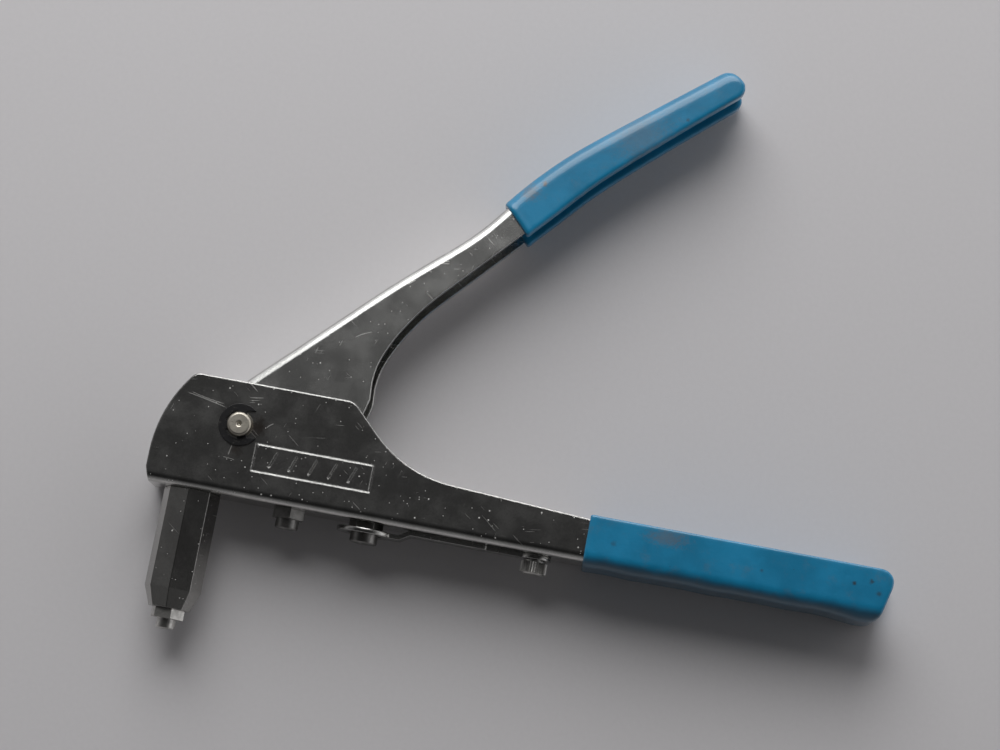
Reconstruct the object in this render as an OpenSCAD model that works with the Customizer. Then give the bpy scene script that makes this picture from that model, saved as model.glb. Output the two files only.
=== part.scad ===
// Hand rivet setter: a pressed-steel plier that pulls blind rivets.
// It lies on its side. Z runs along the pivot pin, X along the fixed handle from the nose to the
// handle ends, and Y from the mouth of the nose towards the moving handle.
// The origin is the mouth of the mounted nosepiece, on the centre line of the barrel.

/* [Frame] */
// Outside width of the pressed body channel
body_w = 24; // [23:0.5:26]
// Thickness of the body and lever sheet
sheet_t = 2; // [1.8:0.1:2.2]
// Outside radius of the body's fold
fold_r = 3; // [2.5:0.1:3.5]
// Height of the web's outer face above the nose mouth
web_y = 46.5; // [46:0.1:47]
// Length of the fixed handle from the barrel axis to the end of its steel
handle_end = 229; // [200:1:235]

/* [Pivot] */
// Distance from the barrel axis to the pivot, which sets the pull for each degree of squeeze
pivot_x = 12.5; // [12.3:0.1:12.7]
// Height of the pivot above the nose mouth
pivot_y = 70; // [69.5:0.1:70.5]
// Diameter of the pivot pin
pin_d = 8; // [7:0.5:8.5]
// Diameter of the retaining clip
clip_d = 14; // [13:0.5:15]

/* [Lever] */
// Outside width of the lever channel, which runs inside the body
lever_w = 19.4; // [19:0.1:19.4]
// Angle between the two handles at rest
lever_angle = 44.6; // [44:0.1:46]
// Height of the lever web's outer face above the pivot
lever_web = 11.8; // [11.5:0.1:12]
// Outside radius of the lever's fold
lever_fold_r = 2.7; // [2.5:0.1:3]

/* [Grips] */
// Thickness of the dipped vinyl
vinyl_t = 1.5; // [1.2:0.1:1.8]
// Distance from the barrel axis to the mouth of the lower grip
lower_mouth = 132; // [125:1:140]
// Distance from the pivot to the mouth of the upper grip, along the lever
upper_mouth = 114.5; // [110:0.5:120]

/* [Nose] */
// Size of the octagonal barrel across its corners
barrel_ac = 19; // [18.5:0.1:19.5]
// Size across the flats of the nosepiece collars
collar_af = 10; // [9.8:0.1:10]
// Bore of the mounted nosepiece, for 3.2 mm rivets
bore_mounted = 2.1; // [2:0.1:2.2]
// Bore of the first spare nosepiece, for 4.0 mm rivets
bore_spare_a = 2.6; // [2.5:0.1:2.7]
// Bore of the second spare nosepiece, for 4.8 mm rivets
bore_spare_b = 3.2; // [3.1:0.1:3.3]

/* [Hidden] */
$fn = 96;

// Small gaps: between parts that move past each other, and round a pin that turns
gap = 0.3;
running = 0.05;
// Overshoot of a cutting tool past the surface it cuts
over = 1;
arc_step = 4;

// Fixed handle
half_w = body_w / 2;
handle_top = 60.5;
handle_corner = 6;
handle_rake = 2;
hole_spare_a = [33, web_y];
hole_spare_b = [59.1, web_y];
screw_x = 116.4;
screw_d = 5;

// Outline of the body's side plates
foot_x = -13.6;
front_low = [-15.3, 51];
front_r = 45;
front_centre = [29.7, 56];
plate_top = 84.5;
top_front_r = 4;
top_rear = [46.2, 5];
throat_r = 42;
throat_start = [57.5, 75.4];
throat_end_angle = 266.6;

// Lower grip: how far it runs past the steel, its two end corners and the lean between them
grip_over = 4.5;
grip_top_r = 4.5;
grip_low_r = 4;
grip_low_in = 6;
grip_lean = 8;

// Nosepiece
tip_h = 3.4;
collar_h = 3.3;
shank_h = 6;
shank_r = 3.95;
tail_h = 4.3;
tail_r = 2.5;
tail_taper = 0.7;
tip_ease = 0.4;
tip_mounted = 6.3;
tip_spare_a = 7.7;
tip_spare_b = 9.3;
nose_seat = tip_h + collar_h;

// Barrel
taper_h = 6.5;
taper_ac = 13.8;
barrel_bore = 6.75;
barrel_spigot = 7.8;
spigot_h = 4.7;
chamber_y = nose_seat + shank_h + gap;
cap_nut_af = 19;
cap_nut_h = 5;
cap_wall = 2;
seat_y = web_y + sheet_t + cap_nut_h - cap_wall;

// Pulling parts inside the barrel
cone_angle = 12;
case_r = 6.5;
case_y = 13.6;
case_h = 22.4;
case_mouth_r = 3.2;
case_bore_r = 5.2;
cone_y = 15.6;
cone_h = (case_bore_r - case_mouth_r) / tan(cone_angle);
case_end = case_y + case_h;
tube_r = 4.5;
tube_bore = 2.6;
tube_thread_r = 5.15;
tube_thread_h = 4;
tube_end = 82.5;
jaw_count = 3;
jaw_clear = 0.26;
jaw_split = 0.35;
jaw_bore = 1.5;
jaw_y = nose_seat + shank_h + tail_h + gap;
jaw_end = cone_y + cone_h - gap;
pusher_r = 4.9;
pusher_h = 1.8;
pusher_stem_r = 2.2;
pusher_bore = 1.5;
pusher_y = jaw_end + gap;
pusher_end = 35;

// Springs: mean radius of the coil, radius of the wire and number of turns
return_coil_r = 5.65;
return_wire_r = 0.6;
return_turns = 5;
pusher_coil_r = 3.5;
pusher_wire_r = 0.4;
pusher_turns = 4;
spring_clear = 0.1;

// Collar that the lever's lobes lift, and the lobes' involute
collar_rest = 4;
collar_y = pivot_y + collar_rest;
collar_t = 3.5;
pull_collar_x = 11;
pull_collar_z = 19.2;
pull_nut_af = 13;
pull_nut_h = 3;
lobe_start = (collar_rest - gap) / pivot_x * 180 / PI;
lobe_travel = 42;
lobe_step = 3;

// Pivot
head_d = 12;
head_h = 1.5;
pin_end = half_w + 3;
pin_ease = 0.6;
head_ease = 0.5;
head_dish = 0.8;
clip_t = 0.9;
clip_groove = 7;
clip_ring = 2.2;
clip_mouth = 9;
clip_turn = 10;

// Line of the lever web's outer face, along the lever and out from the pivot
web_points = [[0, lever_web], [20, lever_web], [45, lever_web], [66, lever_web], [80, 11.3], [93, 10.55],
    [103, 10.6], [112, 11.6], [122, 13], [137, 13.8], [152, 13.1], [178, 10.6], [196, 8.8], [220, 6.4]];
// Free edge of the lever's arms, along the lever and out from the pivot
arm_points = [[33.7, -20.6], [40.5, -16.5], [44, -12.4], [49.3, -8.2], [56, -5.1], [63, -2.9], [74, -0.8],
    [90, 0.1], [110, 1.1], [128, 2.1], [142, 3.0], [156, 2.9], [170, 2.3], [184, 1.6], [220, -0.6]];
web_start = 9;
arm_start = [web_start, -9];
lever_end = 201;
fold_steps = 4;
lever_stations = concat([web_start, 21, 33.7, 37], [for (s = [40.5:2:62.5]) s], [for (s = [66:4:lever_end]) s],
    [lever_end]);
grip_tip = lever_end + 3.4;
tip_round = 4;
// The cheeks are plates a little thinner than the arms they are one piece with
cheek_inset = 0.05;
// Lower edge of the cheeks, in the body's directions from the pivot
cheek_low = [[-16, -4], [-11, -8.5], [-3, -12.5], [8, -13], [16, -11.5], [26, -4.5], [34, 3], [38.5, 9]];
notch_x = -6;
cheek_s = 12;

// Wrench
wrench_t = 1.6;
ring_drop = 2.1;
ring_r = 9.5;
wrench_hex = 10.3;
wrench_w = 9;
tail_w = 6.5;
tail_start = 99.7;
joggle = [70.5, 74];
eye_r = 5.3;

// Thumb screw
knob_d = 8.7;
knob_h = 4.6;
knurls = 30;
knurl_depth = 0.35;
knob_ease = 0.5;
screw_end = 52;

// Generic stamp pressed into the near plate
stamp_at = [39, 60.5];
stamp_size = [40, 9.5];
stamp_line = 0.5;
stamp_depth = 0.15;
stamp_bars = 5;
stamp_slant = 20;

// Colours
nickel = [0.72, 0.72, 0.70];
dark_steel = [0.45, 0.45, 0.44];
vinyl_blue = [0.10, 0.46, 0.68];
black_steel = [0.08, 0.08, 0.09];
spring_steel = [0.55, 0.56, 0.58];

// ---- Shared functions and modules

// Points on an arc from angle a to angle b, both ends included
function arc(centre, r, a, b) =
    let (n = max(2, ceil(abs(b - a) / arc_step)))
    [for (i = [0:n]) centre + r * [cos(a + (b - a) * i / n), sin(a + (b - a) * i / n)]];

// A smooth curve through a list of points (Catmull-Rom), with n steps between neighbours
function curve(p, n) =
    concat([for (i = [0:len(p) - 2]) for (k = [0:n - 1]) curve_at(p, i, k / n)], [p[len(p) - 1]]);
function curve_at(p, i, u) =
    let (
        a = p[max(i - 1, 0)],
        b = p[i],
        c = p[i + 1],
        d = p[min(i + 2, len(p) - 1)]
    )
    0.5 * (2 * b + (c - a) * u + (2 * a - 5 * b + 4 * c - d) * u * u + (3 * b - a - 3 * c + d) * u * u * u);

// Points of the lever's involute at rest: the flat collar then rises in step with the squeeze
function lobe_point(turn) =
    let (unrolled = (lobe_start + turn) * PI / 180)
    pivot_x * [-cos(turn) - unrolled * sin(turn), -sin(turn) + unrolled * cos(turn)];

// A round bar or hole along Y
module bar_y(r, y0, y1) {
    translate([0, y1, 0]) rotate([90, 0, 0]) cylinder(r = r, h = y1 - y0);
}

// A cone along Y, with radius r0 at y0 and r1 at y1
module taper_y(r0, r1, y0, y1) {
    translate([0, y1, 0]) rotate([90, 0, 0]) cylinder(r1 = r1, r2 = r0, h = y1 - y0);
}

// A regular prism along Y of the given size across its flats, turned about its own axis
module prism_y(af, sides, y0, y1, turn = 0) {
    translate([0, y1, 0]) rotate([90, 0, 0]) rotate([0, 0, turn])
        cylinder(r = af / 2 / cos(180 / sides), h = y1 - y0, $fn = sides);
}

// The outline round a channel: its web lies on the X axis, folded at radius r, and its arms go up
module channel_block(w, r, depth) {
    translate([-w / 2, r]) square([w, depth - r]);
    translate([r - w / 2, 0]) square([w - 2 * r, 2 * r]);
    for (side = [-1, 1]) translate([side * (w / 2 - r), r]) circle(r = r);
}

// A channel section of outside width w and sheet thickness t
module channel_section(w, t, r, depth) {
    difference() {
        channel_block(w, r, depth);
        translate([0, t]) channel_block(w - 2 * t, max(r - t, 0.5), depth);
    }
}

// A straight channel along X, with its web's outer face at y = 0 and its arms up
module channel_x(w, t, r, depth, length) {
    rotate([0, 90, 0]) linear_extrude(length) channel_section(w, t, r, depth);
}

// A wire wound round Y between y0 and y1
module coil_y(mean_r, wire_r, turns, y0, y1) {
    sides = 8;
    per_turn = 20;
    rings = turns * per_turn;
    rise = y1 - y0 - 2 * wire_r;
    points = [for (i = [0:rings]) for (k = [0:sides - 1])
        let (
            turn = 360 * i / per_turn,
            around = 360 * k / sides,
            r = mean_r + wire_r * cos(around),
            y = y0 + wire_r + rise * i / rings + wire_r * sin(around)
        )
        [r * cos(turn), y, r * sin(turn)]];
    walls = [for (i = [0:rings - 1]) for (k = [0:sides - 1])
        let (a = i * sides + k, b = i * sides + (k + 1) % sides)
        [a, b, b + sides, a + sides]];
    first = [for (k = [sides - 1:-1:0]) k];
    last = [for (k = [0:sides - 1]) rings * sides + k];
    polyhedron(points = points, faces = concat([first], walls, [last]), convexity = 10);
}

// ---- Body

// Front and top of the side plates as far as the throat behind the lever
function plate_outline() =
    let (
        corner = [front_centre[0] - sqrt(pow(front_r - top_front_r, 2)
            - pow(plate_top - top_front_r - front_centre[1], 2)), plate_top - top_front_r],
        corner_angle = atan2(corner[1] - front_centre[1], corner[0] - front_centre[0]),
        rear_centre = [top_rear[0], plate_top - top_rear[1]],
        throat_centre = throat_start + throat_r * [sin(45), cos(45)]
    )
    concat(
        [[foot_x, web_y - over], front_low],
        arc(front_centre, front_r, 180, corner_angle),
        arc(corner, top_front_r, corner_angle, 90),
        arc(rear_centre, top_rear[1], 90, 45),
        arc(throat_centre, throat_r, 225, throat_end_angle)
    );

module body_profile() {
    polygon(concat(
        plate_outline(),
        [[lower_mouth, handle_top]],
        arc([handle_end - handle_corner, handle_top - handle_corner], handle_corner, 90, 0),
        [[handle_end - handle_rake, web_y - over]]
    ));
}

module stamp_cut() {
    bar_pitch = stamp_size[0] / (stamp_bars + 1);
    translate([stamp_at[0], stamp_at[1], half_w - stamp_depth]) linear_extrude(over) {
        difference() {
            square(stamp_size, center = true);
            square(stamp_size - 2 * [stamp_line, stamp_line], center = true);
        }
        for (i = [1:stamp_bars])
            translate([-stamp_size[0] / 2 + bar_pitch * i, 0]) rotate([0, 0, -stamp_slant])
                square([stamp_line, stamp_size[1] - 8 * stamp_line], center = true);
    }
}

module body_channel() {
    intersection() {
        translate([-body_w, web_y, 0]) channel_x(body_w, sheet_t, fold_r, 2 * body_w, handle_end + 2 * body_w);
        linear_extrude(body_w + 2 * over, center = true) body_profile();
    }
}

module body_frame() {
    color(nickel) difference() {
        body_channel();
        translate([pivot_x, pivot_y, 0]) cylinder(r = pin_d / 2 + running, h = body_w + 2, center = true);
        bar_y(barrel_spigot + running, web_y - over, web_y + sheet_t + over);
        for (hole = [hole_spare_a, hole_spare_b])
            translate([hole[0], 0, 0]) bar_y(shank_r + running, web_y - over, web_y + sheet_t + over);
        translate([screw_x, 0, 0]) bar_y(screw_d / 2, web_y - over, web_y + sheet_t + over);
        stamp_cut();
    }
}

module lower_grip() {
    grip_w = body_w + 2 * vinyl_t;
    grip_end = handle_end + grip_over;
    color(vinyl_blue) difference() {
        intersection() {
            translate([0, web_y - vinyl_t, 0])
                channel_x(grip_w, sheet_t + 2 * vinyl_t, fold_r + vinyl_t, body_w, handle_end + body_w);
            linear_extrude(grip_w + 2 * over, center = true) polygon(concat(
                [[lower_mouth, web_y - 2 * vinyl_t], [lower_mouth, handle_top + vinyl_t]],
                arc([grip_end - grip_top_r, handle_top + vinyl_t - grip_top_r], grip_top_r, 90, -grip_lean),
                arc([grip_end - grip_low_in, web_y - vinyl_t + grip_low_r], grip_low_r, -grip_lean, -90)
            ));
        }
        body_channel();
    }
}

// ---- Pivot

module pivot_pin() {
    color(dark_steel) translate([pivot_x, pivot_y, 0]) difference() {
        union() {
            translate([0, 0, -half_w]) cylinder(d = pin_d, h = half_w + pin_end - pin_ease);
            translate([0, 0, pin_end - pin_ease]) cylinder(d1 = pin_d, d2 = pin_d - 2 * pin_ease, h = pin_ease);
            translate([0, 0, -half_w - head_h + head_ease]) cylinder(d = head_d, h = head_h - head_ease);
            translate([0, 0, -half_w - head_h])
                cylinder(d1 = head_d - 2 * head_dish, d2 = head_d, h = head_ease);
        }
        translate([0, 0, half_w]) difference() {
            cylinder(d = pin_d + over, h = clip_t + running);
            translate([0, 0, -over]) cylinder(d = clip_groove - 2 * running, h = clip_t + 2 * over);
        }
        translate([0, 0, pin_end - 0.8]) cylinder(d1 = 0.6, d2 = 2, h = 0.9);
    }
}

module pivot_clip() {
    tab_w = 3;
    tab_in = clip_groove / 2 - 0.4;
    color(black_steel) translate([pivot_x, pivot_y, half_w]) rotate([0, 0, clip_turn]) linear_extrude(clip_t) {
        difference() {
            circle(d = clip_d);
            circle(d = clip_d - 2 * clip_ring);
            translate([0, -clip_mouth / 2]) square([clip_d, clip_mouth]);
        }
        for (tab = [80, 180, 280]) rotate([0, 0, tab]) difference() {
            translate([tab_in, -tab_w / 2]) square([clip_d / 2 - clip_ring + 1 - tab_in, tab_w]);
            circle(d = clip_groove);
        }
    }
}

// ---- Nose

// A nosepiece on the Y axis, seated with its collar's back at seat
module nosepiece_shape(tip_d, bore_d, seat, turn) {
    mouth = seat - collar_h - tip_h;
    difference() {
        union() {
            bar_y(tip_d / 2, mouth + tip_ease, mouth + tip_h);
            taper_y(tip_d / 2 - tip_ease, tip_d / 2, mouth, mouth + tip_ease);
            prism_y(collar_af, 6, seat - collar_h, seat, turn);
            bar_y(shank_r, seat, seat + shank_h);
            taper_y(tail_r, tail_r - tail_taper, seat + shank_h, seat + shank_h + tail_h);
        }
        bar_y(bore_d / 2, mouth - over, seat + shank_h + tail_h + over);
    }
}

module nosepiece() {
    color(dark_steel) nosepiece_shape(tip_mounted, bore_mounted, nose_seat, 12);
}

module spare_nosepiece_a() {
    color(dark_steel) translate([hole_spare_a[0], 0, 0])
        nosepiece_shape(tip_spare_a, bore_spare_a, hole_spare_a[1], 20);
}

module spare_nosepiece_b() {
    color(dark_steel) translate([hole_spare_b[0], 0, 0])
        nosepiece_shape(tip_spare_b, bore_spare_b, hole_spare_b[1], 0);
}

module barrel() {
    color(nickel) difference() {
        union() {
            prism_y(barrel_ac * cos(22.5), 8, nose_seat + taper_h, web_y, 0);
            translate([0, nose_seat + taper_h, 0]) rotate([90, 0, 0])
                cylinder(r1 = barrel_ac / 2, r2 = taper_ac / 2, h = taper_h, $fn = 8);
            bar_y(barrel_spigot, web_y, web_y + spigot_h);
        }
        bar_y(shank_r + running, nose_seat - over, chamber_y + over);
        bar_y(barrel_bore, chamber_y, web_y + spigot_h + over);
    }
}

// Closed nut inside the channel: it holds the barrel and seats the return spring
module barrel_cap_nut() {
    color(dark_steel) difference() {
        prism_y(cap_nut_af, 6, web_y + sheet_t, web_y + sheet_t + cap_nut_h, 0);
        bar_y(barrel_spigot + running, web_y, seat_y);
        bar_y(tube_r + gap + 0.1, web_y, web_y + sheet_t + cap_nut_h + over);
    }
}

// ---- Pulling parts

module jaw_case() {
    color(dark_steel) difference() {
        bar_y(case_r, case_y, case_end);
        bar_y(case_mouth_r, case_y - over, cone_y + over);
        taper_y(case_mouth_r, case_bore_r, cone_y, cone_y + cone_h);
        bar_y(case_bore_r, cone_y + cone_h, case_end + over);
    }
}

module pull_tube() {
    color(dark_steel) difference() {
        union() {
            bar_y(tube_thread_r, case_end - tube_thread_h, case_end);
            bar_y(tube_r, case_end, tube_end);
        }
        bar_y(tube_bore, case_end - tube_thread_h - over, tube_end + over);
    }
}

module pull_collar() {
    color(dark_steel) difference() {
        translate([0, collar_y + collar_t, 0]) rotate([90, 0, 0]) linear_extrude(collar_t) intersection() {
            square([pull_collar_x, pull_collar_z], center = true);
            circle(d = pull_collar_z + 0.8);
        }
        bar_y(tube_r + running, collar_y - over, collar_y + collar_t + over);
    }
}

module pull_lock_nut() {
    nut_y = collar_y + collar_t;
    color(dark_steel) difference() {
        prism_y(pull_nut_af, 6, nut_y, nut_y + pull_nut_h, 0);
        bar_y(tube_r + running, nut_y - over, nut_y + pull_nut_h + over);
    }
}

// One jaw of the three, cut from a toothed cone and turned round the barrel axis
module jaw(index) {
    y_at = jaw_y - cone_y;
    r0 = case_mouth_r + y_at * tan(cone_angle) - jaw_clear;
    r1 = case_mouth_r + (jaw_end - cone_y) * tan(cone_angle) - jaw_clear;
    half = 180 / jaw_count;
    color(spring_steel) rotate([0, 360 / jaw_count * index, 0]) difference() {
        taper_y(r0, r1, jaw_y, jaw_end);
        bar_y(jaw_bore, jaw_y - over, jaw_end + over);
        for (side = [-1, 1]) rotate([0, side * half, 0])
            translate([-2 * case_r, jaw_y - over, side > 0 ? -jaw_split - 2 * case_r : -jaw_split])
                cube([4 * case_r, jaw_end - jaw_y + 2 * over, 2 * case_r + 2 * jaw_split]);
    }
}

module jaw_1() { jaw(0); }
module jaw_2() { jaw(1); }
module jaw_3() { jaw(2); }

module jaw_pusher() {
    color(dark_steel) difference() {
        union() {
            bar_y(pusher_r, pusher_y, pusher_y + pusher_h);
            bar_y(pusher_stem_r, pusher_y + pusher_h, pusher_end);
        }
        bar_y(pusher_bore, pusher_y - over, pusher_end + over);
    }
}

module pusher_spring() {
    color(spring_steel) coil_y(pusher_coil_r, pusher_wire_r, pusher_turns,
        pusher_y + pusher_h + spring_clear, case_end - tube_thread_h - spring_clear);
}

module return_spring() {
    color(spring_steel) coil_y(return_coil_r, return_wire_r, return_turns,
        case_end + spring_clear, seat_y - spring_clear);
}

// ---- Lever

// Heights of the web's outer face and of the arms' free edge at s along the lever
function web_at(s) = lookup(s, curve(web_points, 4));
function arm_at(s) = s < arm_points[0][0]
    ? lookup(s, [arm_start, arm_points[0]])
    : lookup(s, curve(arm_points, 4));

// How far a round tip has drawn in at s along the lever
function draw_in(s) =
    let (into = max(0, s - grip_tip + tip_round))
    tip_round - sqrt(max(0, tip_round * tip_round - into * into));

// One side of a channel outline across the lever, from its free edge low to its web at high, as
// [out from the pivot, across]
function half_outline(half, high, low, r) = concat(
    [[low, half]],
    [for (i = [0:fold_steps])
        let (a = 90 * i / fold_steps)
        [high - r + r * sin(a), half - r + r * cos(a)]]
);

// The whole channel section at s: its outside, then back along its inside
function channel_loop(s, skin, drawn) =
    let (
        half = lever_w / 2 + skin,
        high = web_at(s) + skin - drawn,
        low = arm_at(s) - skin + drawn,
        sheet = sheet_t + 2 * skin,
        r = lever_fold_r + skin,
        inner_r = max(r - sheet, 0.5),
        outside = half_outline(half, high, low, r),
        inside = half_outline(half - sheet, max(high - sheet, low + 2 * inner_r), low, inner_r),
        n = len(outside)
    )
    concat(
        outside,
        [for (i = [n - 1:-1:0]) [outside[i][0], -outside[i][1]]],
        [for (p = inside) [p[0], -p[1]]],
        [for (i = [n - 1:-1:0]) inside[i]]
    );

// A closed solid whose section follows the lever through the given stations
module channel_sweep(stations, skin, rounded) {
    loops = [for (s = stations) [for (p = channel_loop(s, skin, rounded ? draw_in(s) : 0)) [s, p[0], p[1]]]];
    n = len(loops[0]);
    last = len(loops) - 1;
    polyhedron(
        points = [for (loop = loops) each loop],
        faces = concat(
            [for (k = [0:n / 2 - 2]) [n - 1 - k, n - 2 - k, k + 1, k]],
            [for (i = [0:last - 1]) for (k = [0:n - 1])
                let (a = i * n + k, b = i * n + (k + 1) % n)
                [a, b, b + n, a + n]],
            [for (k = [0:n / 2 - 2]) [k, k + 1, n - 2 - k, n - 1 - k] + last * n * [1, 1, 1, 1]]
        ),
        convexity = 10
    );
}

// Places its children in the lever's own directions: X along the lever and Y out through its web
module on_lever() {
    translate([pivot_x, pivot_y, 0]) rotate([0, 0, lever_angle]) children();
}

// A cheek's outline, in the body's directions from the pivot: lobe, collar notch, arm and lower edge
module cheek_outline() {
    inside = lever_web - 1.3 * lever_fold_r;
    ca = cos(lever_angle);
    sa = sin(lever_angle);
    notch_s = (notch_x + inside * sa) / ca;
    polygon(concat(
        [for (turn = [lobe_travel:-lobe_step:-4 * lobe_step]) lobe_point(turn)],
        [[notch_x, collar_rest - 1.3 * gap]],
        [for (s = [notch_s, cheek_s]) [s * ca - inside * sa, s * sa + inside * ca]],
        [for (i = [len(cheek_low) - 1:-1:0]) cheek_low[i]]
    ));
}

module lever() {
    color(nickel) difference() {
        union() {
            on_lever() channel_sweep(lever_stations, 0, false);
            for (side = [-1, 1]) translate([pivot_x, pivot_y, side * (lever_w - sheet_t) / 2])
                linear_extrude(sheet_t - 2 * cheek_inset, center = true) cheek_outline();
        }
        translate([pivot_x, pivot_y, 0]) cylinder(r = pin_d / 2 + running, h = body_w, center = true);
    }
}

module upper_grip() {
    straight = grip_tip - tip_round;
    stations = concat([for (s = [upper_mouth:5:straight - 1]) s],
        [for (a = [0:22.5:90]) straight + tip_round * sin(a)]);
    color(vinyl_blue) on_lever() difference() {
        channel_sweep(stations, vinyl_t, true);
        channel_sweep(lever_stations, 0, false);
    }
}

// ---- Pieces under the web

module wrench() {
    ring_y = web_y - ring_drop;
    color(nickel) difference() {
        intersection() {
            linear_extrude(3 * ring_r, center = true) polygon([
                [hole_spare_b[0] - ring_r - over, ring_y], [joggle[0], ring_y], [joggle[1], web_y],
                [screw_x + 2 * eye_r, web_y], [screw_x + 2 * eye_r, web_y - wrench_t],
                [joggle[1] + 0.4, web_y - wrench_t], [joggle[0] + 0.4, ring_y - wrench_t],
                [hole_spare_b[0] - ring_r - over, ring_y - wrench_t]
            ]);
            translate([0, web_y, 0]) rotate([90, 0, 0]) linear_extrude(2 * ring_r) {
                translate([hole_spare_b[0], 0]) circle(r = ring_r);
                translate([hole_spare_b[0], -wrench_w / 2]) square([tail_start - hole_spare_b[0], wrench_w]);
                translate([hole_spare_b[0], -tail_w / 2]) square([screw_x - hole_spare_b[0], tail_w]);
                translate([screw_x, 0]) circle(r = eye_r);
            }
        }
        translate([hole_spare_b[0], 0, 0]) prism_y(wrench_hex, 6, ring_y - 2 * ring_r, web_y, 0);
        translate([screw_x, 0, 0]) bar_y(screw_d / 2 + 0.2, web_y - 2 * wrench_t, web_y + over);
    }
}

module thumb_screw() {
    head_top = web_y - wrench_t - gap;
    head_low = head_top - knob_h;
    rim_r = knob_d / 2 - 1.5 * knurl_depth;
    color(dark_steel) translate([screw_x, 0, 0]) {
        translate([0, head_top - knob_ease, 0]) rotate([90, 0, 0])
            linear_extrude(knob_h - 2 * knob_ease) polygon([
            for (i = [0:2 * knurls - 1])
                let (a = 180 * i / knurls, r = knob_d / 2 - (i % 2) * knurl_depth)
                r * [cos(a), sin(a)]
        ]);
        bar_y(rim_r, head_top - knob_ease, head_top);
        taper_y(rim_r - knob_ease, rim_r, head_low, head_low + knob_ease);
        bar_y(screw_d / 2 - running, head_top, screw_end);
    }
}

body_frame();
lower_grip();
barrel();
barrel_cap_nut();
nosepiece();
spare_nosepiece_a();
spare_nosepiece_b();
wrench();
thumb_screw();
pivot_pin();
pivot_clip();
lever();
upper_grip();
pull_tube();
pull_collar();
pull_lock_nut();
jaw_case();
jaw_1();
jaw_2();
jaw_3();
jaw_pusher();
pusher_spring();
return_spring();
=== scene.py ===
"""Looks of the hand rivet setter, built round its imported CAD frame. Lengths are in metres."""

import math

import bmesh
import bpy
import numpy as np
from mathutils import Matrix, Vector


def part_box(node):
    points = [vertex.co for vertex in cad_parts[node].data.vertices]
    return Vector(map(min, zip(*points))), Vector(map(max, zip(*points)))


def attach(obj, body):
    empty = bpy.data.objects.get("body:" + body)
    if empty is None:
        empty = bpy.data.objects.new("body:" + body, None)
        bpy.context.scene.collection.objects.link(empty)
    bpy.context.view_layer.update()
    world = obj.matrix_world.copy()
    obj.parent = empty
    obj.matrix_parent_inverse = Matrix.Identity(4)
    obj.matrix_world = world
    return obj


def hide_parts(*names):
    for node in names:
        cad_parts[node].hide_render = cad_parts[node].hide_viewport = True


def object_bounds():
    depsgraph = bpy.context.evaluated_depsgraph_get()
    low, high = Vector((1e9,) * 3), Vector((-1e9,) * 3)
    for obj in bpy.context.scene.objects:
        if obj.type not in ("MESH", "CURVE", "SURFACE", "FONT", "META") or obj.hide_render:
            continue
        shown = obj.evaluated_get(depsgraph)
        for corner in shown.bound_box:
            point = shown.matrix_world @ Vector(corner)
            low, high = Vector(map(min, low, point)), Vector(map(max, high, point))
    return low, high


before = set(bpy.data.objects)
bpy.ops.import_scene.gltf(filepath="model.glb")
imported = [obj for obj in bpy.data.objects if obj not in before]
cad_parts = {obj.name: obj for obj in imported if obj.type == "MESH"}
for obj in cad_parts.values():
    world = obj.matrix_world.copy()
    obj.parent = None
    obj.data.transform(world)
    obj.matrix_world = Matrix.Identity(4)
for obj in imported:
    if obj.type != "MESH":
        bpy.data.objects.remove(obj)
cad_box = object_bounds()

MM = 0.001
LEVER_ANGLE = math.radians(44.6)  # the open lever's direction in the XY plane
PIVOT = Vector((12.5 * MM, 70.0 * MM, 0.0))


# ---- Materials


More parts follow.
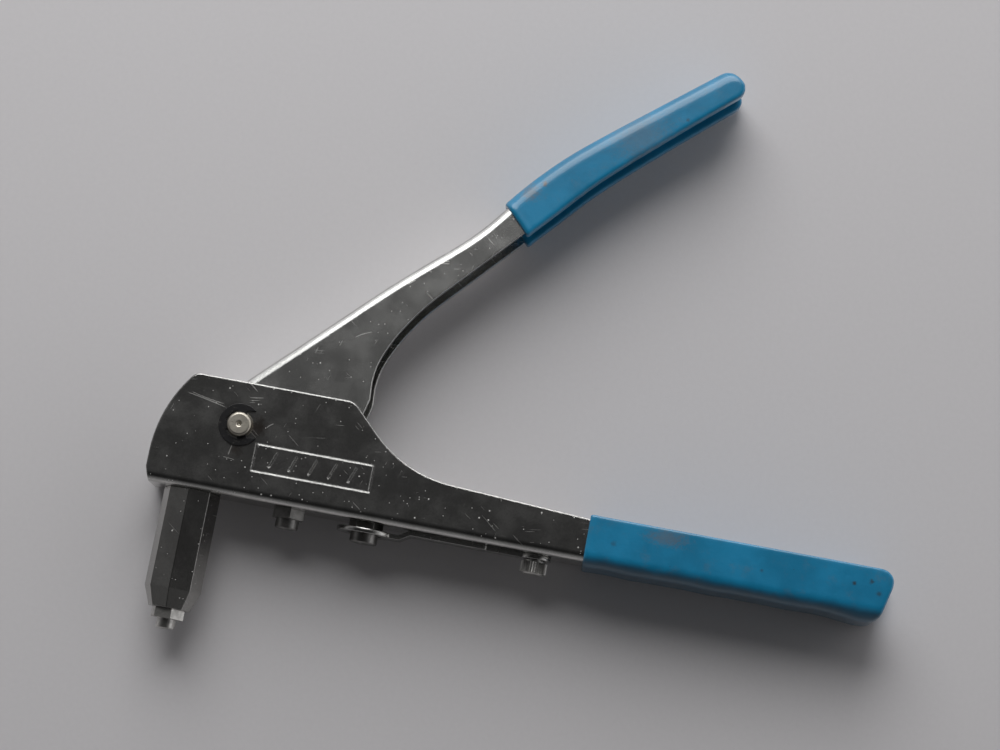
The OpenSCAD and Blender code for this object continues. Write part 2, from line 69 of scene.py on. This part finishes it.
class Surface:
    """A procedural material. Its textures run in the object's own coordinates, in millimetres."""

    def __init__(self, name, colour, metallic, roughness):
        self.material = bpy.data.materials.new(name)
        self.material.use_nodes = True
        self.nodes = self.material.node_tree.nodes
        self.links = self.material.node_tree.links
        self.shader = self.nodes["Principled BSDF"]
        self.set("Base Color", (*colour, 1.0))
        self.set("Metallic", metallic)
        self.set("Roughness", roughness)
        place = self.nodes.new("ShaderNodeTexCoord").outputs["Object"]
        self.place = self.vector("MULTIPLY", place, (1.0 / MM, 1.0 / MM, 1.0 / MM))

    def feed(self, socket, value):
        """Links a texture to a socket, or sets a constant on it."""
        if isinstance(value, bpy.types.NodeSocket):
            self.links.new(value, socket)
        else:
            socket.default_value = value

    def set(self, name, value):
        self.feed(self.shader.inputs[name], value)

    def vector(self, operation, first, second=(0.0, 0.0, 0.0)):
        node = self.nodes.new("ShaderNodeVectorMath")
        node.operation = operation
        self.feed(node.inputs[0], first)
        self.feed(node.inputs[1], second)
        return node.outputs["Value" if operation == "LENGTH" else "Vector"]

    def maths(self, operation, *values, clamp=False):
        node = self.nodes.new("ShaderNodeMath")
        node.operation = operation
        node.use_clamp = clamp
        for socket, value in zip(node.inputs, values):
            self.feed(socket, value)
        return node.outputs[0]

    def most(self, *values):
        """The highest of several masks."""
        top = values[0]
        for value in values[1:]:
            top = self.maths("MAXIMUM", top, value)
        return top

    def between(self, value, low, high, at_low=0.0, at_high=1.0):
        """A smooth step: at_low where value is under low, at_high where it is over high."""
        node = self.nodes.new("ShaderNodeMapRange")
        node.interpolation_type = "SMOOTHSTEP"
        node.inputs["From Min"].default_value = low
        node.inputs["From Max"].default_value = high
        node.inputs["To Min"].default_value = at_low
        node.inputs["To Max"].default_value = at_high
        self.feed(node.inputs["Value"], value)
        return node.outputs["Result"]

    def mix(self, share, first, second):
        """A blend of two colours."""
        node = self.nodes.new("ShaderNodeMix")
        node.data_type = "RGBA"
        self.feed(node.inputs["Factor"], share)
        for socket, value in zip(node.inputs[6:8], (first, second)):
            self.feed(socket, value if isinstance(value, bpy.types.NodeSocket) else (*value, 1.0))
        return node.outputs[2]

    def noise(self, per_mm, detail=3.0, roughness=0.55, place=None):
        node = self.nodes.new("ShaderNodeTexNoise")
        self.feed(node.inputs["Vector"], self.place if place is None else place)
        node.inputs["Scale"].default_value = per_mm
        node.inputs["Detail"].default_value = detail
        node.inputs["Roughness"].default_value = roughness
        return node.outputs["Fac"]

    def turned(self, degrees, centre_mm=(0.0, 0.0, 0.0)):
        """Coordinates whose first axis runs at an angle in the XY plane, from a centre."""
        away = self.vector("SUBTRACT", self.place, centre_mm)
        node = self.nodes.new("ShaderNodeVectorRotate")
        node.rotation_type = "Z_AXIS"
        node.inputs["Angle"].default_value = math.radians(-degrees)
        self.feed(node.inputs["Vector"], away)
        return node.outputs["Vector"]

    def axes(self, place):
        node = self.nodes.new("ShaderNodeSeparateXYZ")
        self.feed(node.inputs["Vector"], place)
        return node.outputs

    def specks(self, spacing, size, share):
        """Small round spots: that share of the cells of a loose grid holds one each."""
        cells = self.nodes.new("ShaderNodeTexVoronoi")
        self.feed(cells.inputs["Vector"], self.place)
        cells.inputs["Scale"].default_value = 1.0 / spacing
        reach = size / spacing
        dot = self.between(cells.outputs["Distance"], 0.4 * reach, reach, 1.0, 0.0)
        parts = self.nodes.new("ShaderNodeSeparateColor")
        self.feed(parts.inputs["Color"], cells.outputs["Color"])
        chosen = self.maths("LESS_THAN", parts.outputs["Red"], share)
        return self.maths("MULTIPLY", dot, chosen)

    def hairlines(self, degrees, per_mm, threshold, length=25.0):
        """Fine straight scratches at one angle in the XY plane, broken up along their length."""
        along = self.turned(degrees)
        stretched = self.vector("MULTIPLY", along, (1.0 / length, 1.0, 1.0 / length))
        lines = self.between(self.noise(per_mm, 0.0, place=stretched), threshold, threshold + 0.03)
        patches = self.between(self.noise(0.11, 1.0, place=along), 0.53, 0.62)
        return self.maths("MULTIPLY", lines, patches)

    def stroke(self, start_mm, end_mm, bow=0.0, width=0.16):
        """One long scratch between two points on a face that looks along Z, bowed sideways."""
        run = (end_mm[0] - start_mm[0], end_mm[1] - start_mm[1])
        length = math.hypot(*run)
        along = self.axes(self.turned(math.degrees(math.atan2(run[1], run[0])), (*start_mm, 0.0)))
        inside = self.maths("MULTIPLY", along["X"], self.maths("SUBTRACT", length, along["X"]))
        bend = self.maths("MULTIPLY", inside, 4.0 * bow / length**2)
        off_line = self.maths("ABSOLUTE", self.maths("SUBTRACT", along["Y"], bend))
        line = self.between(off_line, 0.3 * width, width, 1.0, 0.0)
        ends = self.between(inside, 0.0, 0.12 * length**2)
        return self.maths("MULTIPLY", line, ends)

    def stain(self, centre_mm, radius, squash=(1.0, 1.0, 1.0)):
        """A patch with a ragged edge, strongest at its centre. squash scales each axis."""
        away = self.vector("MULTIPLY", self.vector("SUBTRACT", self.place, centre_mm), squash)
        ragged = self.maths("MULTIPLY_ADD", self.noise(0.9, 4.0, 0.7), 1.6 * radius, -0.8 * radius)
        size = self.maths("ADD", self.vector("LENGTH", away), ragged)
        return self.between(size, 0.1 * radius, radius, 1.0, 0.0)

    def tint(self, share, colour):
        """Lays a colour over what the base colour holds so far."""
        socket = self.shader.inputs["Base Color"]
        so_far = socket.links[0].from_socket if socket.links else tuple(socket.default_value[:3])
        self.feed(socket, self.mix(share, so_far, colour))

    def bump(self, height, depth_mm, strength=1.0, edge_mm=0.0):
        """Relief in the surface, over edges that catch the light as if rounded by edge_mm."""
        node = self.nodes.new("ShaderNodeBump")
        if edge_mm:
            eased = self.nodes.new("ShaderNodeBevel")
            eased.inputs["Radius"].default_value = edge_mm * MM
            self.feed(node.inputs["Normal"], eased.outputs["Normal"])
        node.inputs["Strength"].default_value = strength
        node.inputs["Distance"].default_value = depth_mm * MM
        self.feed(node.inputs["Height"], height)
        self.set("Normal", node.outputs["Normal"])


def shade(colour, factor):
    """A colour made lighter or darker by a factor."""
    return tuple(channel * factor for channel in colour)


DUST = (0.80, 0.79, 0.76)
BARE_STEEL = (0.86, 0.84, 0.81)
RUST = (0.14, 0.07, 0.035)
# Dark dirt. Also the colour of the painted shade along the lower grip's lower edge.
GRIME_AND_SHADE = (0.035, 0.032, 0.028)


def plating(name, colour, roughness, haze, dust_share, strokes=(), rust_spots=(), edge_mm=0.7):
    """Bright plated steel that has dulled: cloudy haze, hairline scratches, dust and rust bloom."""
    s = Surface(name, colour, 1.0, roughness)
    clouds = s.noise(0.09, 5.0, 0.62)
    mottle = s.noise(0.8, 4.0, 0.65)
    scratches = s.most(
        s.hairlines(8, 2.4, 0.78),
        s.hairlines(-37, 2.8, 0.79),
        s.maths("MULTIPLY", s.hairlines(71, 2.6, 0.79, 14.0), 0.6),
        *(s.stroke(*ends) for ends in strokes),
    )
    dust = s.most(s.specks(3.4, 0.34, dust_share), s.specks(1.5, 0.2, dust_share))
    cloudy = s.between(s.maths("MULTIPLY", clouds, s.maths("ADD", mottle, 0.5)), 0.35, 0.65)
    s.set("Base Color", s.mix(cloudy, shade(colour, 0.92), shade(colour, 1.08)))
    grain = s.between(s.noise(2.2, 3.0, 0.7), 0.42, 0.62)
    s.tint(s.maths("MULTIPLY", grain, 0.28), shade(colour, 0.45))
    s.tint(s.maths("MULTIPLY", scratches, 0.18), BARE_STEEL)
    for centre, radius, share in rust_spots:
        s.tint(s.maths("MULTIPLY", s.stain(centre, radius), share), RUST)
    s.tint(dust, DUST)
    s.set("Metallic", s.maths("MULTIPLY_ADD", dust, -0.85, 1.0))
    dull = s.maths("MULTIPLY_ADD", s.between(clouds, 0.35, 0.7), haze, roughness)
    scuffed = s.maths("MULTIPLY", s.maths("MAXIMUM", scratches, dust), 0.16)
    s.set("Roughness", s.maths("ADD", dull, scuffed, clamp=True))
    relief = s.maths("MULTIPLY_ADD", scratches, -0.5, s.maths("MULTIPLY", mottle, 0.5))
    s.bump(relief, 0.008, 0.5, edge_mm)
    return s.material


def machined(name, colour, roughness, rings_per_mm, grime=0.3):
    """Turned steel: fine tool rings round the surface, a little grime and dulling."""
    s = Surface(name, colour, 1.0, roughness)
    smudges = s.noise(0.25, 5.0, 0.65)
    rings = s.noise(rings_per_mm, 2.0, place=s.vector("MULTIPLY", s.place, (0.12, 1.0, 0.12)))
    s.set("Base Color", s.mix(s.between(smudges, 0.35, 0.68), colour, shade(colour, 0.62)))
    s.tint(s.maths("MULTIPLY", s.between(s.noise(1.1, 4.0, 0.7), 0.58, 0.72), grime), GRIME_AND_SHADE)
    s.tint(s.specks(3.1, 0.2, 0.2), DUST)
    s.set("Roughness", s.maths("MULTIPLY_ADD", smudges, 0.22, roughness - 0.06))
    s.bump(rings, 0.02, 0.5)
    return s.material


def blackened(name, colour, roughness):
    """Spring steel with a black oxide finish, rubbed thin in places."""
    s = Surface(name, colour, 0.6, roughness)
    rubbed = s.between(s.noise(0.9, 5.0, 0.7), 0.55, 0.75)
    s.set("Base Color", s.mix(rubbed, colour, (0.10, 0.095, 0.088)))
    s.tint(s.maths("MULTIPLY", s.specks(2.0, 0.16, 0.3), 0.7), DUST)
    s.set("Roughness", s.maths("MULTIPLY_ADD", rubbed, -0.12, roughness))
    s.bump(s.noise(3.0, 3.0), 0.015, 0.5)
    return s.material


def dipped_vinyl(name, colour, smudges, spots, shade_and_grime_edge=None):
    """Glossy vinyl coating: uneven sheen, handling dirt, and a few worn or dark spots.

    The last argument is the pair of heights along Y between which the painted shade and grime along
    the lower edge fade out."""
    s = Surface(name, colour, 0.0, 0.34)
    clouds = s.noise(0.05, 5.0, 0.6)
    pores = s.noise(1.6, 4.0, 0.7)
    s.set("Base Color", s.mix(s.between(clouds, 0.36, 0.66), shade(colour, 0.86), shade(colour, 1.1)))
    handled = s.maths("MULTIPLY", s.between(s.noise(0.16, 6.0, 0.75), 0.52, 0.75), 0.34)
    s.tint(handled, (0.10, 0.16, 0.20))
    for centre, radius, squash, share in smudges:
        s.tint(s.maths("MULTIPLY", s.stain(centre, radius, squash), share), (0.17, 0.12, 0.08))
    for centre, radius, squash, share in spots:
        s.tint(s.maths("MULTIPLY", s.stain(centre, radius, squash), share), GRIME_AND_SHADE)
    if shade_and_grime_edge:
        # Painted shade along the lower edge, mixed with grime: the base colour darkens towards the
        # bottom of the grip.
        wavy = s.maths("MULTIPLY_ADD", s.noise(0.12, 2.0), 3.0, s.axes(s.place)["Y"])
        s.tint(s.between(wavy, *shade_and_grime_edge, 0.6, 0.0), GRIME_AND_SHADE)
    s.tint(s.maths("MULTIPLY", s.specks(4.0, 0.22, 0.16), 0.55), GRIME_AND_SHADE)
    s.set("Roughness", s.maths("MULTIPLY_ADD", s.maths("ADD", clouds, pores), 0.16, 0.20))
    s.set("Coat Weight", 0.6)
    s.set("Coat Roughness", 0.13)
    s.bump(s.maths("MULTIPLY_ADD", pores, 0.4, s.noise(0.25, 2.0)), 0.10, 0.5)
    return s.material


def pale_paper(name):
    """The plain floor under the tool."""
    s = Surface(name, (0.62, 0.605, 0.615), 0.0, 0.7)
    fibres = s.noise(0.6, 5.0, 0.6)
    s.set("Base Color", s.mix(fibres, (0.60, 0.585, 0.595), (0.64, 0.625, 0.635)))
    s.bump(s.noise(2.5, 4.0), 0.03, 0.4)
    return s.material


# ---- Metal parts: the CAD nodes, with their edges eased

PLATE_STROKES = (
    ((-7.3, 77.7), (7.6, 74.7), 0.15, 0.2),
    ((-5.9, 78.2), (6.7, 75.9), -0.3, 0.16),
    ((21.3, 70.5), (23.6, 72.4), 0.2, 0.2),
    ((10.6, 59.4), (11.3, 63.0), 0.0, 0.22),
    ((9.0, 58.6), (13.2, 58.2), 0.1, 0.16),
)
PLATE_RUST = (((18.6, 70.5, 12.0), 4.5, 0.55), ((13.0, 61.5, 12.0), 3.0, 0.4))
LEVER_STROKES = (
    ((57.8, 127.0), (60.3, 128.9), 0.0, 0.3),
    ((68.2, 139.2), (69.8, 140.9), 0.0, 0.3),
    ((44.0, 106.0), (49.5, 109.0), 0.3, 0.14),
)

body_steel = plating("plating_body", (0.62, 0.615, 0.595), 0.17, 0.04, 0.34, PLATE_STROKES, PLATE_RUST)
lever_steel = plating("plating_lever", (0.70, 0.70, 0.68), 0.22, 0.03, 0.32, LEVER_STROKES)
barrel_steel = plating("plating_barrel", (0.36, 0.355, 0.34), 0.16, 0.04, 0.32, edge_mm=0.15)
wrench_steel = plating("plating_wrench", (0.50, 0.495, 0.48), 0.20, 0.06, 0.28, edge_mm=0.2)
turned_steel = machined("turned_steel", (0.60, 0.59, 0.565), 0.30, 4.0)
dark_turned_steel = machined("dark_turned_steel", (0.30, 0.295, 0.285), 0.34, 4.0, 0.45)
pin_steel = machined("pin_steel", (0.62, 0.58, 0.50), 0.34, 2.0, 0.5)
black_steel = blackened("black_steel", (0.018, 0.018, 0.019), 0.42)
spring_steel = machined("spring_steel", (0.40, 0.40, 0.40), 0.28, 1.0)

FINISHES = {
    "body_frame": body_steel,
    "lever": lever_steel,
    "barrel": barrel_steel,
    "nosepiece": turned_steel,
    "spare_nosepiece_a": dark_turned_steel,
    "spare_nosepiece_b": dark_turned_steel,
    "wrench": wrench_steel,
    "thumb_screw": turned_steel,
    "pivot_pin": pin_steel,
    "pivot_clip": black_steel,
    "barrel_cap_nut": turned_steel,
    "jaw_case": turned_steel,
    "jaw_1": dark_turned_steel,
    "jaw_2": dark_turned_steel,
    "jaw_3": dark_turned_steel,
    "jaw_pusher": turned_steel,
    "pusher_spring": spring_steel,
    "return_spring": spring_steel,
    "pull_tube": turned_steel,
    "pull_collar": turned_steel,
    "pull_lock_nut": turned_steel,
}
EASED_EDGES_MM = {
    "barrel": 0.25,
    "nosepiece": 0.15,
    "spare_nosepiece_a": 0.15,
    "spare_nosepiece_b": 0.15,
    "wrench": 0.3,
    "pivot_pin": 0.3,
    "pivot_clip": 0.12,
}


def finish_node(name, material):
    """Puts a material on a CAD node, and eases its edges where a radius is given for it."""
    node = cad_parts[name]
    node.data.materials.clear()
    node.data.materials.append(material)
    if name not in EASED_EDGES_MM:
        return
    weld = node.modifiers.new("weld", "WELD")
    weld.merge_threshold = 0.001 * MM
    ease = node.modifiers.new("eased_edges", "BEVEL")
    ease.width = EASED_EDGES_MM[name] * MM
    ease.segments = 2
    ease.limit_method = "ANGLE"
    ease.angle_limit = math.radians(40)
    ease.use_clamp_overlap = False
    ease.harden_normals = True


for node_name, finish in FINISHES.items():
    finish_node(node_name, finish)


# ---- Vinyl grips: dipped skins that follow the CAD grips, softened all over

LOWER_MOUTH, LOWER_EDGE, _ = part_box("lower_grip")[0]
UPPER_MOUTH = 114.5 * MM  # along the lever, from the pivot
LIP = 0.10 * MM
LIP_PLACE = 1.2 * MM  # behind the mouth
LIP_WIDTH = 1.1 * MM
RIPPLE = 0.10 * MM
SAG_RISE = 4.0 * MM  # how far up the side the sag reaches
END_SAG = 0.9 * MM
END_SAG_PLACE = 224.0 * MM
END_SAG_WIDTH = 7.0 * MM

VINYL_BLUE = (0.006, 0.205, 0.385)
ROUND_SPOT = (1.0, 1.0, 0.4)
lower_vinyl = dipped_vinyl(
    "vinyl_lower",
    VINYL_BLUE,
    (((158.0, 59.0, 13.0), 5.0, (0.5, 1.2, 0.4), 0.45),),
    (
        ((220.5, 55.5, 13.5), 1.1, ROUND_SPOT, 0.85),
        ((226.0, 57.2, 13.5), 1.2, ROUND_SPOT, 0.7),
        ((229.0, 53.5, 13.5), 1.3, ROUND_SPOT, 0.6),
        ((190.0, 54.0, 13.5), 0.9, ROUND_SPOT, 0.5),
        ((141.0, 53.8, 13.5), 1.2, ROUND_SPOT, 0.4),
    ),
    # Heights between which the painted shade and grime along the lower edge fade out.
    (47.6, 50.6),
)
upper_vinyl = dipped_vinyl(
    "vinyl_upper",
    VINYL_BLUE,
    (
        ((96.8, 168.7, 11.0), 1.3, ROUND_SPOT, 0.85),
        ((92.5, 165.0, 11.0), 3.6, (0.8, 0.8, 0.4), 0.5),
        ((125.0, 191.0, 11.0), 8.0, (0.5, 0.6, 0.4), 0.3),
    ),
    (((157.6, 211.5, 11.0), 1.1, ROUND_SPOT, 0.75), ((140.0, 199.0, 11.0), 0.9, ROUND_SPOT, 0.55)),
)


def softened_copy(name, node_name, voxel_mm, passes):
    """A closed copy of a CAD node whose edges are melted round, as dipping leaves them."""
    copy = bpy.data.objects.new("melt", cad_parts[node_name].data.copy())
    bpy.context.scene.collection.objects.link(copy)
    remesh = copy.modifiers.new("voxels", "REMESH")
    remesh.mode = "VOXEL"
    remesh.voxel_size = voxel_mm * MM
    soften = copy.modifiers.new("soften", "SMOOTH")
    soften.factor = 0.5
    soften.iterations = passes
    evaluated = copy.evaluated_get(bpy.context.evaluated_depsgraph_get())
    mesh = bpy.data.meshes.new_from_object(evaluated)
    bpy.data.objects.remove(copy)
    piece = bpy.data.objects.new(name, mesh)
    bpy.context.scene.collection.objects.link(piece)
    mesh.polygons.foreach_set("use_smooth", [True] * len(mesh.polygons))
    return piece


def dress_grip(piece, node_name, body, material, distance_from_mouth, sag_at=None):
    """Adds the rolled lip at the mouth and any sag left by dipping, and fits the piece."""
    vertices = piece.data.vertices
    points = np.empty(3 * len(vertices))
    normals = np.empty(3 * len(vertices))
    vertices.foreach_get("co", points)
    vertices.foreach_get("normal", normals)
    points = points.reshape(-1, 3)
    lip = LIP * np.exp(-(((distance_from_mouth(points) - LIP_PLACE) / LIP_WIDTH) ** 2))
    points += normals.reshape(-1, 3) * lip[:, None]
    if sag_at:
        points[:, 1] -= sag_at(points)
    vertices.foreach_set("co", points.ravel())
    piece.data.materials.clear()
    piece.data.materials.append(material)
    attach(piece, body)
    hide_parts(node_name)


def lower_sag(points):
    """The lower edge of the fixed handle's grip sags in slow waves, most of all near its end."""
    share = np.clip(1.0 - (points[:, 1] - LOWER_EDGE) / SAG_RISE, 0.0, 1.0)
    along = points[:, 0] / MM
    across = points[:, 2] / MM
    wave = 1.0 + np.sin(along / 3.9 + 0.6) + 0.5 * np.sin(along / 2.1) + 0.4 * np.sin(across / 3.0)
    end = END_SAG * np.exp(-(((points[:, 0] - END_SAG_PLACE) / END_SAG_WIDTH) ** 2))
    return share * (RIPPLE * wave + end)


def along_lever(points):
    """How far each point lies from the pivot, along the lever."""
    away = points - np.array(PIVOT)
    return away[:, 0] * math.cos(LEVER_ANGLE) + away[:, 1] * math.sin(LEVER_ANGLE)


def past_lower_mouth(points):
    return points[:, 0] - LOWER_MOUTH


def past_upper_mouth(points):
    return along_lever(points) - UPPER_MOUTH


grip_lower = softened_copy("grip_lower", "lower_grip", 0.5, 22)
dress_grip(grip_lower, "lower_grip", "body", lower_vinyl, past_lower_mouth, lower_sag)
grip_upper = softened_copy("grip_upper", "upper_grip", 0.45, 14)
dress_grip(grip_upper, "upper_grip", "handle_lever", upper_vinyl, past_upper_mouth)


# ---- Floor, light and camera


def make_floor(side, cells, centre):
    """A flat square of plain paper under the tool, at the CAD frame's lowest point."""
    bm = bmesh.new()
    bmesh.ops.create_grid(bm, x_segments=cells, y_segments=cells, size=side / 2)
    mesh = bpy.data.meshes.new("floor")
    bm.to_mesh(mesh)
    bm.free()
    floor = bpy.data.objects.new("floor", mesh)
    floor.location = (*centre, cad_box[0].z)
    floor.data.materials.append(pale_paper("paper"))
    bpy.context.scene.collection.objects.link(floor)


def make_soft_light(name, place, target, size, watts):
    """A round area light that faces a target."""
    light = bpy.data.lights.new(name, "AREA")
    light.shape = "DISK"
    light.size = size
    light.energy = watts
    holder = bpy.data.objects.new(name, light)
    holder.location = place
    holder.rotation_euler = (Vector(target) - Vector(place)).to_track_quat("-Z", "Y").to_euler()
    bpy.context.scene.collection.objects.link(holder)


def ramp(tree, socket, from_low, from_high, at_low, at_high, interpolation="LINEAR"):
    """A node that turns one span of values into another, and holds it at both ends."""
    node = tree.nodes.new("ShaderNodeMapRange")
    node.interpolation_type = interpolation
    spans = (("From Min", from_low), ("From Max", from_high), ("To Min", at_low), ("To Max", at_high))
    for name, value in spans:
        node.inputs[name].default_value = value
    tree.links.new(socket, node.inputs["Value"])
    return node.outputs["Result"]


def product(tree, first, second):
    node = tree.nodes.new("ShaderNodeMath")
    node.operation = "MULTIPLY"
    tree.links.new(first, node.inputs[0])
    tree.links.new(second, node.inputs[1])
    return node.outputs[0]


def make_sky():
    """A dim studio: pale low down, darkest straight above the tool, and dimmer to -Y and to -X."""
    world = bpy.data.worlds.new("studio")
    bpy.context.scene.world = world
    world.use_nodes = True
    tree = world.node_tree
    parts = tree.nodes.new("ShaderNodeSeparateXYZ")
    tree.links.new(tree.nodes.new("ShaderNodeTexCoord").outputs["Generated"], parts.inputs["Vector"])
    height = ramp(tree, parts.outputs["Z"], 0.05, 0.84, 1.9, 0.04, "SMOOTHSTEP")
    side = ramp(tree, parts.outputs["Y"], -0.7, 0.5, 0.12, 1.0)
    left = ramp(tree, parts.outputs["X"], -0.9, -0.2, 0.3, 1.0)
    background = tree.nodes["Background"]
    background.inputs["Color"].default_value = (0.99, 0.985, 1.0, 1.0)
    strength = product(tree, height, product(tree, side, left))
    tree.links.new(strength, background.inputs["Strength"])


def make_camera():
    """A long lens from nearly straight above, as in the photo."""
    camera = bpy.data.cameras.new("camera")
    camera.lens = 104.4
    camera.sensor_width = 36.0
    camera.clip_start = 0.01
    holder = bpy.data.objects.new("camera", camera)
    holder.location = (0.1343, -0.0417, 0.9605)
    holder.rotation_euler = [math.radians(angle) for angle in (8.917, 0.781, 10.695)]
    bpy.context.scene.collection.objects.link(holder)
    bpy.context.scene.camera = holder


make_floor(6.0, 12, (0.09, 0.10))
make_soft_light("key", (-0.15, 1.05, 0.85), (0.12, 0.11, 0.0), 1.2, 13.5)
make_sky()
make_camera()
bpy.context.scene.view_settings.view_transform = "Standard"
